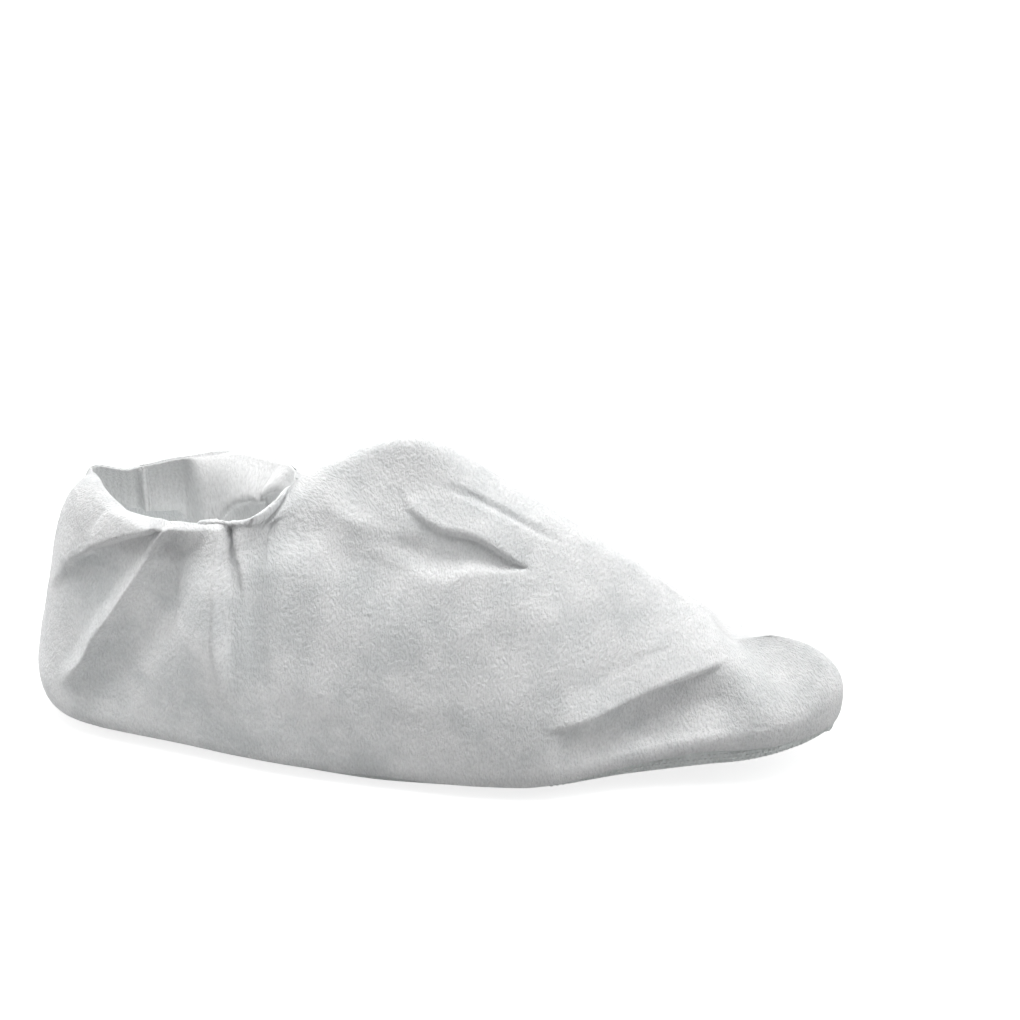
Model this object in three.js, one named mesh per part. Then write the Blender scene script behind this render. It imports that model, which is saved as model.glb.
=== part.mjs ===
// A disposable overshoe: a one-piece nonwoven upper with a gathered ankle opening, sewn to a grip sole.
// Millimetres, +Z up, toe along +X. The floor is z = 0 and the origin is under the middle.

import * as THREE from "three";

// Cloth thicknesses, and the gap kept between neighbouring pieces.
const UPPER_THICKNESS = 1.5;
const SOLE_THICKNESS = 1.6;
const SEAM_THICKNESS = 1.2;
const HEM_THICKNESS = 1.4;
const PIECE_GAP = 0.35;
const HEM_GAP = 1.15;

// Rows of the hem band, as mesh row of the wall and as drop below the rim where it hangs.
const HEM_ROWS = [
  { row: 12, drop: 18 },
  { row: 13, drop: 14 },
  { row: 14, drop: 9.5 },
  { row: 15, drop: 5 },
  { row: 16, drop: 1.2 },
];

// Widths of the sewn bands.
const SOLE_SEAM_WIDTH = 4;
const SOLE_SEAM_INSET = 0.8;
const SOLE_SEAM_DROP = 0.1;

// The upright join of the hem, on the far side of the heel: its section place, and its width and height as
// shares of a section and of the wall.
const HEEL_SEAM_PLACE = 2.2;
const HEEL_SEAM_WIDTH = 0.13;
const HEEL_SEAM_LOW = 0.72;
const HEEL_SEAM_HIGH = 0.93;
const HEEL_SEAM_GAP = 1.2;

// Gathers drawn up by the elastic round the mouth.
const GATHER_DEPTH = 1.2;
const GATHER_PITCH = 17;
const GATHER_REACH = 0.45;

// Toe spring: where the sole leaves the floor, and how high its middle stands near the tip.
const SPRING_START_X = 35;
const SPRING_END_X = 160;
const SPRING_HEIGHT = 15;
const SPRING_POWER = 1.2;

// Border of the sole: its place under the sewn edge, and how tightly it turns up along sides and toe.
const SOLE_INSET = 0.8;
const SOLE_DROP = 2.2;
const BORDER_POWER = 9;
const TOE_BORDER_POWER = 14;
const SOLE_END = 0.06;
const SOLE_END_SECTIONS = 1.5;

// Share of the height from sewn edge to top that lies below the widest place.
const BELLY_SHARE = 0.16;

// Mesh steps.
const MOUTH_COLUMNS = 25;
const VAMP_COLUMNS = 29;
const UPPER_ROWS = 17;
const SOLE_COLUMNS = 40;
const SOLE_ROWS = 12;
const HEEL_SEAM_STEPS = 8;

// Sections of the upper, from the middle of the heel to the tip of the toe, the same for both halves.
// Each lies in an upright half plane that leaves the middle line at centreX, turned by angle from +X.
// bellyR is the widest place and tuck how far the sewn edge lies inside it. The top is the rim of the
// mouth as far as the throat, and then the middle line of the vamp. tilt lifts the far side's rim and
// lowers the near side's.
// fullness shapes the arch from belly to top: 1 is an ellipse and 2 a straight line.
const SECTIONS = [
  // heel back, drawn in at the rim
  {
    centreX: -140, angle: 180, bellyR: 37.5, bellyZ: 24, tuck: 9,
    edgeZ: 4.5, topR: 4, topZ: 112, tilt: 0, fullness: 1.6,
  },
  // heel corner
  {
    centreX: -140, angle: 135, bellyR: 39.5, bellyZ: 20, tuck: 8,
    edgeZ: 4.5, topR: 16, topZ: 109, tilt: -5, fullness: 1.5,
  },
  // heel side
  {
    centreX: -138, angle: 96, bellyR: 41, bellyZ: 14, tuck: 6,
    edgeZ: 4.5, topR: 25, topZ: 103.5, tilt: -2.5, fullness: 1.5,
  },
  // collar middle
  {
    centreX: -100, angle: 90, bellyR: 49, bellyZ: 11, tuck: 5,
    edgeZ: 4.5, topR: 36, topZ: 106.7, tilt: 1.3, fullness: 1.45,
  },
  // collar front
  {
    centreX: -72, angle: 90, bellyR: 55, bellyZ: 10, tuck: 4.5,
    edgeZ: 4.5, topR: 29, topZ: 108.5, tilt: 0.3, fullness: 1.4,
  },
  // throat corner
  {
    centreX: -57, angle: 90, bellyR: 58, bellyZ: 10, tuck: 4.5,
    edgeZ: 4.5, topR: 14, topZ: 113, tilt: 0, fullness: 1.3,
  },
  // throat
  {
    centreX: -50, angle: 90, bellyR: 59, bellyZ: 10, tuck: 4.5,
    edgeZ: 4.5, topR: 0, topZ: 116, tilt: 0, fullness: 1.3,
  },
  // instep
  {
    centreX: -8, angle: 90, bellyR: 65, bellyZ: 10, tuck: 4.5,
    edgeZ: 4.5, topR: 0, topZ: 138, tilt: 0, fullness: 1.3,
  },
  // vamp
  {
    centreX: 48, angle: 90, bellyR: 65, bellyZ: 12, tuck: 4.5,
    edgeZ: 5, topR: 0, topZ: 109, tilt: 0, fullness: 1.3,
  },
  // ball
  {
    centreX: 92, angle: 90, bellyR: 48.5, bellyZ: 20, tuck: 3.5,
    edgeZ: 11.5, topR: 0, topZ: 84, tilt: 0, fullness: 1.4,
  },
  // toe side
  {
    centreX: 122, angle: 76, bellyR: 39.5, bellyZ: 26, tuck: 3,
    edgeZ: 17.5, topR: 0, topZ: 64, tilt: 0, fullness: 1.25,
  },
  // toe corner
  {
    centreX: 138, angle: 40, bellyR: 35.5, bellyZ: 28, tuck: 3,
    edgeZ: 18, topR: 0, topZ: 53.5, tilt: 0, fullness: 1.15,
  },
  // toe tip
  {
    centreX: 146, angle: 0, bellyR: 31.6, bellyZ: 30, tuck: 3,
    edgeZ: 19.5, topR: 0, topZ: 56, tilt: 0, fullness: 1,
  },
];
const THROAT = 6;
const TIP = SECTIONS.length - 1;

// Folds pressed into the upper. Each runs through three places, given as section place and height share,
// on the near side (-1) or far side (1). crest is how far the cloth stands out along the fold, sunk with a
// minus sign, and width its half width. trough is how far it sinks beside the crest, on the side dip: 1 is
// the toe or upper side of the line and -1 the other. A fold from the rim has its full height there.
const FOLDS = [
  // heel drape
  { side: -1, path: [[2.75, 1], [2.09, 0.74], [0.45, 0.44]], crest: 2, width: 9, trough: 3.5, dip: 1 },
  // heel ridge
  { side: -1, path: [[3, 1], [2.35, 0.56], [1.14, 0.14]], crest: 3.2, width: 10, trough: 2.5, dip: 1 },
  // side ridge
  { side: -1, path: [[3.62, 1], [3.53, 0.68], [3.51, 0.36]], crest: 2.4, width: 9, trough: 1.5, dip: 1 },
  // collar pleat
  { side: -1, path: [[3.74, 1], [3.86, 0.76], [4.09, 0.5]], crest: -2, width: 7, trough: -1.5, dip: 1 },
  // throat dimple
  { side: -1, path: [[4.5, 0.92], [4.73, 0.78], [5.1, 0.64]], crest: -3.5, width: 12, trough: -1, dip: 1 },
  // instep facet
  { side: -1, path: [[6.7, 0.93], [7.14, 0.74], [8.05, 0.74]], crest: 3, width: 13, trough: 2.5, dip: -1 },
  // vamp crease
  { side: -1, path: [[6.8, 0.92], [7.68, 0.84], [8.8, 0.98]], crest: -3, width: 9, trough: -1, dip: 1 },
  // toe crease
  { side: -1, path: [[8.15, 0.32], [9.15, 0.46], [10.15, 0.69]], crest: 3.4, width: 12, trough: 5, dip: -1 },
  // far heel ridge
  { side: 1, path: [[2.5, 1], [2, 0.56], [1.1, 0.2]], crest: 2.8, width: 11, trough: 2.5, dip: 1 },
  // far collar lobe, which leans into the mouth
  { side: 1, path: [[2.6, 0.7], [3.3, 0.8], [4.8, 0.86]], crest: -7, width: 16, trough: 0, dip: 1 },
  // far side ridge
  { side: 1, path: [[3.8, 1], [3.9, 0.7], [3.8, 0.4]], crest: 2.5, width: 11, trough: 1.5, dip: 1 },
  // far throat dimple
  { side: 1, path: [[4.6, 0.9], [4.9, 0.76], [5.4, 0.6]], crest: -3, width: 12, trough: -1, dip: 1 },
  // far instep crease
  { side: 1, path: [[6.9, 0.86], [7.5, 0.7], [8.2, 0.6]], crest: 2.5, width: 13, trough: 2, dip: -1 },
  // far toe crease
  { side: 1, path: [[8.1, 0.32], [9.2, 0.5], [10.1, 0.74]], crest: 2.8, width: 13, trough: 4, dip: -1 },
];

// A value between table rows, at place t in rows from the first: a curve with no overshoot.
// Only the turn of the sections runs on at both ends, so that the two halves meet smoothly there.
function between(rows, column, t) {
  const index = THREE.MathUtils.clamp(Math.floor(t), 0, rows.length - 2);
  const f = t - index;
  const step = (i) => {
    const from = THREE.MathUtils.clamp(i, 0, rows.length - 2);
    return rows[from + 1][column] - rows[from][column];
  };
  const slope = (i) => {
    const before = step(i - 1);
    const after = step(i);
    if ((i === 0 || i === rows.length - 1) && column !== "angle") {
      return 0;
    }
    return before * after > 0 ? (2 * before * after) / (before + after) : 0;
  };
  const from = rows[index][column] * (2 * f ** 3 - 3 * f ** 2 + 1);
  const start = from + slope(index) * (f ** 3 - 2 * f ** 2 + f);
  const end = rows[index + 1][column] * (3 * f ** 2 - 2 * f ** 3) + slope(index + 1) * (f ** 3 - f ** 2);
  return start + end;
}

// A point of the upper without folds: t is the section place, v the height share, side -1 or 1.
function smoothPoint(t, v, side) {
  const size = (column) => between(SECTIONS, column, t);
  const bellyR = size("bellyR");
  const bellyZ = size("bellyZ");
  let r;
  let z;
  if (v < BELLY_SHARE) {
    const turn = (v / BELLY_SHARE) * (Math.PI / 2);
    r = bellyR - size("tuck") * (1 - Math.sin(turn));
    z = bellyZ - (bellyZ - size("edgeZ")) * Math.cos(turn);
  } else {
    const turn = ((v - BELLY_SHARE) / (1 - BELLY_SHARE)) * (Math.PI / 2);
    const topR = size("topR");
    r = topR + (bellyR - topR) * Math.max(Math.cos(turn), 0) ** size("fullness");
    const rise = Math.sin(turn) ** size("fullness");
    z = bellyZ + (size("topZ") - bellyZ) * rise + side * size("tilt") * rise ** 2;
  }
  const angle = THREE.MathUtils.degToRad(size("angle"));
  return new THREE.Vector3(size("centreX") + r * Math.cos(angle), side * r * Math.sin(angle), z);
}

// Outward normal of the smooth upper. On the middle line both halves give the same one.
function smoothNormal(t, v, side) {
  const d = 0.004;
  const oneSide = (s) => {
    const along = smoothPoint(Math.min(t + d, TIP), v, s).sub(smoothPoint(Math.max(t - d, 0), v, s));
    const up = smoothPoint(t, Math.min(v + d, 1), s).sub(smoothPoint(t, Math.max(v - d, 0), s));
    return along.cross(up).normalize().multiplyScalar(-s);
  };
  const onMiddle = t === TIP || (v === 1 && t >= THROAT) || t === 0;
  const normal = onMiddle ? oneSide(-1).add(oneSide(1)) : oneSide(side);
  return normal.normalize();
}

// Each fold's line as short steps on the smooth upper.
const FOLD_STEPS = 24;
const FOLD_LINES = FOLDS.map((fold) => {
  const path = new THREE.SplineCurve(fold.path.map(([t, v]) => new THREE.Vector2(t, v)));
  return path.getPoints(FOLD_STEPS).map((place) => smoothPoint(place.x, place.y, fold.side));
});

const tent = (x) => Math.max(0, 1 - Math.abs(x)) ** 1.6;

// How far one fold moves a point of the smooth upper, along its normal.
function foldOffset(fold, line, point, normal) {
  let nearest = Infinity;
  let share = 0;
  let away = new THREE.Vector3();
  let heading = new THREE.Vector3();
  for (let i = 0; i < FOLD_STEPS; i += 1) {
    const step = line[i + 1].clone().sub(line[i]);
    const offset = point.clone().sub(line[i]);
    const f = THREE.MathUtils.clamp(offset.dot(step) / step.lengthSq(), 0, 1);
    offset.addScaledVector(step, -f);
    if (offset.length() < nearest) {
      nearest = offset.length();
      share = (i + f) / FOLD_STEPS;
      away = offset;
      heading = step;
    }
  }
  if (nearest > fold.width * 2.2) {
    return 0;
  }
  const across = normal.clone().cross(heading).dot(away) * -fold.side;
  const distance = nearest * Math.sign(across || 1);
  const fromRim = fold.path[0][1] === 1;
  const fadeIn = fromRim ? 1 : THREE.MathUtils.smoothstep(share, 0, 0.3);
  const fadeOut = THREE.MathUtils.smoothstep(1 - share, 0, 0.35);
  const trough = fold.trough * tent((distance * fold.dip - fold.width) / fold.width);
  return fadeIn * fadeOut * (fold.crest * tent(distance / fold.width) - trough);
}

// Length along the rim from the middle of the heel, at every hundredth of a section.
const RIM_LENGTHS = [0];
for (let i = 1; i <= THROAT * 100; i += 1) {
  const step = smoothPoint(i / 100, 1, 1).distanceTo(smoothPoint((i - 1) / 100, 1, 1));
  RIM_LENGTHS.push(RIM_LENGTHS[i - 1] + step);
}

// The gathers: waves round the rim that die away below it.
function gatherOffset(t, v, side) {
  if (t > THROAT) {
    return 0;
  }
  const length = RIM_LENGTHS[Math.round(t * 100)];
  const ends = Math.min(1, length / 12, (RIM_LENGTHS[THROAT * 100] - length) / 12);
  const wave = Math.sin((length / GATHER_PITCH) * 2 * Math.PI + 1.3 * Math.sin(length / 21) + side);
  return GATHER_DEPTH * wave * ends * THREE.MathUtils.smoothstep(v, 1 - GATHER_REACH, 1);
}

// A point of the outer face of the upper, folds and gathers included, sunk by depth below it.
function upperPoint(t, v, side, depth) {
  const point = smoothPoint(t, v, side);
  const normal = smoothNormal(t, v, side);
  let offset = gatherOffset(t, v, side);
  FOLDS.forEach((fold, i) => {
    offset += foldOffset(fold, FOLD_LINES[i], point, normal);
  });
  const calm = Math.min(1, t / 0.6, (TIP - t) / 0.6, v / 0.14);
  point.addScaledVector(normal, offset * calm - depth);
  const onMiddle = t === TIP || (v === 1 && t >= THROAT);
  point.y = onMiddle ? 0 : side * Math.max(side * point.y, PIECE_GAP / 2);
  return point;
}

// Section places that lie evenly along the middle height of the upper, from one section to another.
function evenPlaces(from, to, steps) {
  const fine = 300;
  const place = (i) => from + (i / fine) * (to - from);
  const lengths = [0];
  for (let i = 1; i <= fine; i += 1) {
    const step = smoothPoint(place(i), 0.7, 1).distanceTo(smoothPoint(place(i - 1), 0.7, 1));
    lengths.push(lengths[i - 1] + step);
  }
  const places = [from];
  let k = 0;
  for (let i = 1; i < steps; i += 1) {
    const want = (i / steps) * lengths[fine];
    while (lengths[k + 1] < want) {
      k += 1;
    }
    places.push(place(k + (want - lengths[k]) / (lengths[k + 1] - lengths[k])));
  }
  places.push(to);
  return places;
}

// One solid over a list of points, from triangles of three places in it.
function solidFrom(points, triangles) {
  const geometry = new THREE.BufferGeometry();
  const places = points.flatMap((p) => p.toArray());
  geometry.setAttribute("position", new THREE.Float32BufferAttribute(places, 3));
  geometry.setIndex(triangles);
  return geometry;
}

// The upper: both halves on one net of points, which share the middle line of the vamp and the toe.
function upperSolid() {
  const mouth = evenPlaces(0, THROAT, MOUTH_COLUMNS);
  const places = [...mouth, ...evenPlaces(THROAT, TIP, VAMP_COLUMNS).slice(1)];
  const points = [];
  const triangles = [];
  const known = new Map();
  const at = (side, depth, i, j) => {
    const shared = i === places.length - 1 || (j === UPPER_ROWS && places[i] >= THROAT);
    const key = [shared ? 1 : side, depth, i, j].join();
    if (!known.has(key)) {
      known.set(key, points.length);
      points.push(upperPoint(places[i], j / UPPER_ROWS, side, depth));
    }
    return known.get(key);
  };
  for (const side of [-1, 1]) {
    const outer = (i, j) => at(side, 0, i, j);
    const inner = (i, j) => at(side, UPPER_THICKNESS, i, j);
    const quad = (a, b, c, d) => triangles.push(...(side < 0 ? [a, b, c, a, c, d] : [a, c, b, a, d, c]));
    for (let i = 0; i < places.length - 1; i += 1) {
      for (let j = 0; j < UPPER_ROWS; j += 1) {
        quad(outer(i, j), outer(i + 1, j), outer(i + 1, j + 1), outer(i, j + 1));
        quad(inner(i, j), inner(i, j + 1), inner(i + 1, j + 1), inner(i + 1, j));
      }
      quad(outer(i, 0), inner(i, 0), inner(i + 1, 0), outer(i + 1, 0));
    }
    for (let i = 0; i < MOUTH_COLUMNS; i += 1) {
      const top = UPPER_ROWS;
      quad(outer(i, top), outer(i + 1, top), inner(i + 1, top), inner(i, top));
    }
    for (let j = 0; j < UPPER_ROWS; j += 1) {
      quad(outer(0, j), outer(0, j + 1), inner(0, j + 1), inner(0, j));
    }
  }
  return solidFrom(points, triangles);
}

// A closed solid between two nets of points, along u and across v. A ring closes on itself along u.
function sheetSolid(outer, inner, ring) {
  const count = outer.length;
  const last = outer[0].length - 1;
  const points = [...outer.flat(), ...inner.flat()];
  const triangles = [];
  const at = (layer, i, j) => (layer * count + (i % count)) * (last + 1) + j;
  const quad = (a, b, c, d) => triangles.push(a, b, c, a, c, d);
  const columns = ring ? count : count - 1;
  for (let i = 0; i < columns; i += 1) {
    for (let j = 0; j < last; j += 1) {
      quad(at(0, i, j), at(0, i + 1, j), at(0, i + 1, j + 1), at(0, i, j + 1));
      quad(at(1, i, j), at(1, i, j + 1), at(1, i + 1, j + 1), at(1, i + 1, j));
    }
    quad(at(0, i, 0), at(1, i, 0), at(1, i + 1, 0), at(0, i + 1, 0));
    quad(at(0, i, last), at(0, i + 1, last), at(1, i + 1, last), at(1, i, last));
  }
  for (let j = 0; j < last && !ring; j += 1) {
    quad(at(0, 0, j), at(0, 0, j + 1), at(1, 0, j + 1), at(1, 0, j));
    quad(at(0, columns, j), at(1, columns, j), at(1, columns, j + 1), at(0, columns, j + 1));
  }
  return solidFrom(points, triangles);
}

// Steps round a loop of both halves: from the heel along the near side, and back along the far side.
function loopSteps(places) {
  const near = places.map((t) => ({ t, side: -1 }));
  const far = places.slice(1, -1).reverse().map((t) => ({ t, side: 1 }));
  return [...near, ...far];
}

// A place just inside the wall, where the outer face of the hem starts.
function hemWall(step, v) {
  const point = upperPoint(step.t, v, step.side, UPPER_THICKNESS + HEM_GAP);
  point.y = step.t === 0 || step.t === THROAT ? 0 : point.y;
  return point;
}

// The turned hem lies inside the wall all round the mouth. Round the throat, where the wall turns flat,
// it hangs straight down.
function hemSolid() {
  const steps = loopSteps(evenPlaces(0, THROAT, MOUTH_COLUMNS));
  const rim = steps.map((step) => hemWall(step, 1));
  const outer = [];
  const inner = [];
  steps.forEach((step, i) => {
    const before = rim[(i + rim.length - 1) % rim.length];
    const after = rim[(i + 1) % rim.length];
    const inward = new THREE.Vector3(before.y - after.y, after.x - before.x, 0).normalize();
    const hang = THREE.MathUtils.smoothstep(step.t, 4.4, 5.4);
    const column = HEM_ROWS.map(({ row, drop }) => {
      const hanging = rim[i].clone().add(new THREE.Vector3(0, 0, -drop));
      return hemWall(step, row / UPPER_ROWS).lerp(hanging, hang).addScaledVector(inward, PIECE_GAP);
    });
    outer.push(column);
    inner.push(column.map((p) => p.clone().addScaledVector(inward, HEM_THICKNESS)));
  });
  return sheetSolid(outer, inner, true);
}

// The sewn edge of the upper seen from above, moved in by inset, at the given height over it.
function edgePoint(t, side, inset, rise) {
  const point = smoothPoint(t, 0, side);
  const angle = THREE.MathUtils.degToRad(between(SECTIONS, "angle", t));
  point.x -= inset * Math.cos(angle);
  point.y -= inset * Math.sin(angle) * side;
  point.z += rise;
  return point;
}

// Height of the middle of the sole over the floor.
function springHeight(x) {
  const run = Math.max(0, (x - SPRING_START_X) / (SPRING_END_X - SPRING_START_X));
  return SPRING_HEIGHT * run ** SPRING_POWER;
}

// A point of the sole's underside: flat on the floor, with its border turned up to the seam. across runs
// from -1 on the near border to 1 on the far one.
function solePoint(t, across) {
  const border = edgePoint(t, 1, SOLE_INSET, -SOLE_DROP);
  const floorZ = springHeight(border.x);
  const toEnd = Math.min(t, TIP - t) / SOLE_END_SECTIONS;
  const share = Math.max(Math.abs(across), 1 - Math.min(1, toEnd) ** 2);
  const toe = THREE.MathUtils.smoothstep(border.x, SPRING_START_X, SPRING_END_X);
  const rise = share ** THREE.MathUtils.lerp(BORDER_POWER, TOE_BORDER_POWER, toe);
  const z = floorZ + (border.z - floorZ) * (rise < 0.01 ? 0 : rise);
  return new THREE.Vector3(border.x, border.y * across, z);
}

function soleSolid() {
  const under = [];
  const over = [];
  const d = 0.01;
  for (const t of evenPlaces(SOLE_END, TIP - SOLE_END, SOLE_COLUMNS)) {
    const underRow = [];
    const overRow = [];
    for (let j = 0; j <= SOLE_ROWS; j += 1) {
      const across = Math.sin(((2 * j) / SOLE_ROWS - 1) * (Math.PI / 2));
      const point = solePoint(t, across);
      const along = solePoint(t + d, across).sub(solePoint(t - d, across));
      const over1 = solePoint(t, Math.min(across + d, 1)).sub(solePoint(t, Math.max(across - d, -1)));
      underRow.push(point);
      overRow.push(point.clone().addScaledVector(along.cross(over1).normalize(), SOLE_THICKNESS));
    }
    under.push(underRow);
    over.push(overRow);
  }
  return sheetSolid(over, under, false);
}

// The sewn band behind the groove between upper and sole.
function soleSeamSolid() {
  const outer = [];
  const inner = [];
  for (const { t, side } of loopSteps(evenPlaces(0, TIP, MOUTH_COLUMNS + 10))) {
    const top = SOLE_SEAM_WIDTH - SOLE_SEAM_DROP;
    const back = SOLE_SEAM_INSET + SEAM_THICKNESS;
    const low = edgePoint(t, side, SOLE_SEAM_INSET, -SOLE_SEAM_DROP);
    outer.push([low, edgePoint(t, side, SOLE_SEAM_INSET, top)]);
    inner.push([edgePoint(t, side, back, -SOLE_SEAM_DROP), edgePoint(t, side, back, top)]);
  }
  return sheetSolid(outer, inner, true);
}

// The sewn join of the hem, a narrow strip on its inner face.
function heelSeamSolid() {
  const place = (t) => hemWall({ t, side: 1 }, 1);
  const along = place(HEEL_SEAM_PLACE + HEEL_SEAM_WIDTH).sub(place(HEEL_SEAM_PLACE - HEEL_SEAM_WIDTH));
  const inward = new THREE.Vector3(along.y, -along.x, 0).normalize();
  const outer = [];
  const inner = [];
  for (let i = 0; i <= HEEL_SEAM_STEPS; i += 1) {
    const v = THREE.MathUtils.lerp(HEEL_SEAM_LOW, HEEL_SEAM_HIGH, i / HEEL_SEAM_STEPS);
    const sides = [-1, 1].map((end) => {
      const point = hemWall({ t: HEEL_SEAM_PLACE + (end * HEEL_SEAM_WIDTH) / 2, side: 1 }, v);
      return point.addScaledVector(inward, PIECE_GAP + HEM_THICKNESS + HEEL_SEAM_GAP);
    });
    outer.push(sides);
    inner.push(sides.map((p) => p.clone().addScaledVector(inward, SEAM_THICKNESS)));
  }
  return sheetSolid(outer, inner, false);
}

const PIECES = [
  { name: "upper", geometry: upperSolid(), color: 0xf4f5f4 },
  { name: "collar_hem", geometry: hemSolid(), color: 0xeef0ef },
  { name: "heel_seam", geometry: heelSeamSolid(), color: 0xe6e8e7 },
  { name: "sole", geometry: soleSolid(), color: 0xb9bfc0 },
  { name: "sole_seam", geometry: soleSeamSolid(), color: 0x9aa0a2 },
];

const shoeCover = new THREE.Group();
shoeCover.name = "shoe_cover";
for (const { name, geometry, color } of PIECES) {
  const material = new THREE.MeshStandardMaterial({ color, roughness: 0.9, metalness: 0 });
  const mesh = new THREE.Mesh(geometry, material);
  mesh.name = name;
  shoeCover.add(mesh);
}

export default shoeCover;
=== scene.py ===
import math

import bpy
import numpy as np
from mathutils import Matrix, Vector, noise


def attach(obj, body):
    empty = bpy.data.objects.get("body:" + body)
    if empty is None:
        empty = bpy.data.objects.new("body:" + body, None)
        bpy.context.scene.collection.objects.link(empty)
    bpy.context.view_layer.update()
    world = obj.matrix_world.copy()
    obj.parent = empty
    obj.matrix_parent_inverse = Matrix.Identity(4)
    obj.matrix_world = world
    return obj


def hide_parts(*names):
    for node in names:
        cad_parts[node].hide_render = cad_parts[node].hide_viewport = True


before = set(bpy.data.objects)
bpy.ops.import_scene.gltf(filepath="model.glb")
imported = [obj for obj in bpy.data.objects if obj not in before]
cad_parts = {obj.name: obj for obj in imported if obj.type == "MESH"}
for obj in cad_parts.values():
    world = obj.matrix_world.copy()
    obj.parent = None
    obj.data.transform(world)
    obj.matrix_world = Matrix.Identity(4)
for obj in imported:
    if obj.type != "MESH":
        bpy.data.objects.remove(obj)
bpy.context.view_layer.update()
print("frame loaded", list(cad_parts))

mm = 0.001   # cloth, sole and stitches are worked out in millimetres


# helpers shared by all pieces

def deselectAll():
    if bpy.context.object and bpy.context.object.mode != "OBJECT":
        bpy.ops.object.mode_set(mode="OBJECT")
    bpy.ops.object.select_all(action="DESELECT")


def makeActive(obj):
    deselectAll()
    obj.select_set(True)
    bpy.context.view_layer.objects.active = obj


def makeMesh(name, points, faces, uvs=None):
    # points in millimetres; uvs holds the place of every face corner on the flat cloth, in metres
    mesh = bpy.data.meshes.new(name)
    mesh.from_pydata((np.array(points) * mm).tolist(), [], faces)
    if uvs:
        layer = mesh.uv_layers.new(name="cloth")
        layer.data.foreach_set("uv", [c for loopUv in uvs for uv in loopUv for c in uv])
    obj = bpy.data.objects.new(name, mesh)
    bpy.context.collection.objects.link(obj)
    return obj


def gridCloth(name, grid, flatPlace, closed=False, turned=False):
    # a sheet over a grid of points; flatPlace gives a corner's place on the flat cloth
    columns, rows = grid.shape[:2]
    faces, uvs = [], []
    for i in range(columns if closed else columns - 1):
        for j in range(rows - 1):
            corners = [(i, j), (i + 1, j), (i + 1, j + 1), (i, j + 1)]
            if turned:
                corners = [corners[k] for k in (0, 3, 2, 1)]
            faces.append([a % columns * rows + b for a, b in corners])
            uvs.append([[c * mm for c in flatPlace(a, b)] for a, b in corners])
    return makeMesh(name, grid.reshape(-1, 3), faces, uvs)


def applyModifier(obj, kind, **settings):
    makeActive(obj)
    mod = obj.modifiers.new(kind.title(), kind)
    for key, value in settings.items():
        setattr(mod, key, value)
    bpy.ops.object.modifier_apply(modifier=mod.name)


def thicken(obj, thickness):
    # the wall grows inwards from the outer face
    applyModifier(obj, "SOLIDIFY", thickness=thickness * mm, offset=-1)


def faceOutwards(obj):
    makeActive(obj)
    bpy.ops.object.mode_set(mode="EDIT")
    bpy.ops.mesh.select_all(action="SELECT")
    bpy.ops.mesh.normals_make_consistent(inside=False)
    bpy.ops.object.mode_set(mode="OBJECT")


def smoothShade(obj, angle=180):
    makeActive(obj)
    bpy.ops.object.shade_smooth_by_angle(angle=math.radians(angle))


def cutPrimitive(place, normal):
    # cuts the new primitive, keeps its points and faces for copying, and takes it out again
    shape = bpy.context.object
    bpy.ops.object.mode_set(mode="EDIT")
    bpy.ops.mesh.select_all(action="SELECT")
    bpy.ops.mesh.bisect(plane_co=place, plane_no=normal, clear_inner=True, use_fill=True)
    bpy.ops.object.mode_set(mode="OBJECT")
    points = np.array([v.co[:] for v in shape.data.vertices])
    faces = [list(f.vertices) for f in shape.data.polygons]
    bpy.data.objects.remove(shape)
    return points, faces


def smoothStep(x, low, high):
    f = np.clip((np.asarray(x, float) - low) / (high - low), 0, 1)
    return f * f * (3 - 2 * f)


def unit(v):
    return v / np.maximum(np.linalg.norm(v, axis=-1, keepdims=True), 1e-9)


def lengthAlong(points):
    # length of a line of points from its start to each of them
    return np.concatenate([[0], np.cumsum(np.linalg.norm(np.diff(points, axis=0), axis=1))])


# the upper: sections from heel to toe, and the folds that lie in it
# t is a place along the sections, v the height from the sole (0) to the rim or the vamp line (1),
# and side is -1 for the near half and 1 for the far half

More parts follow.
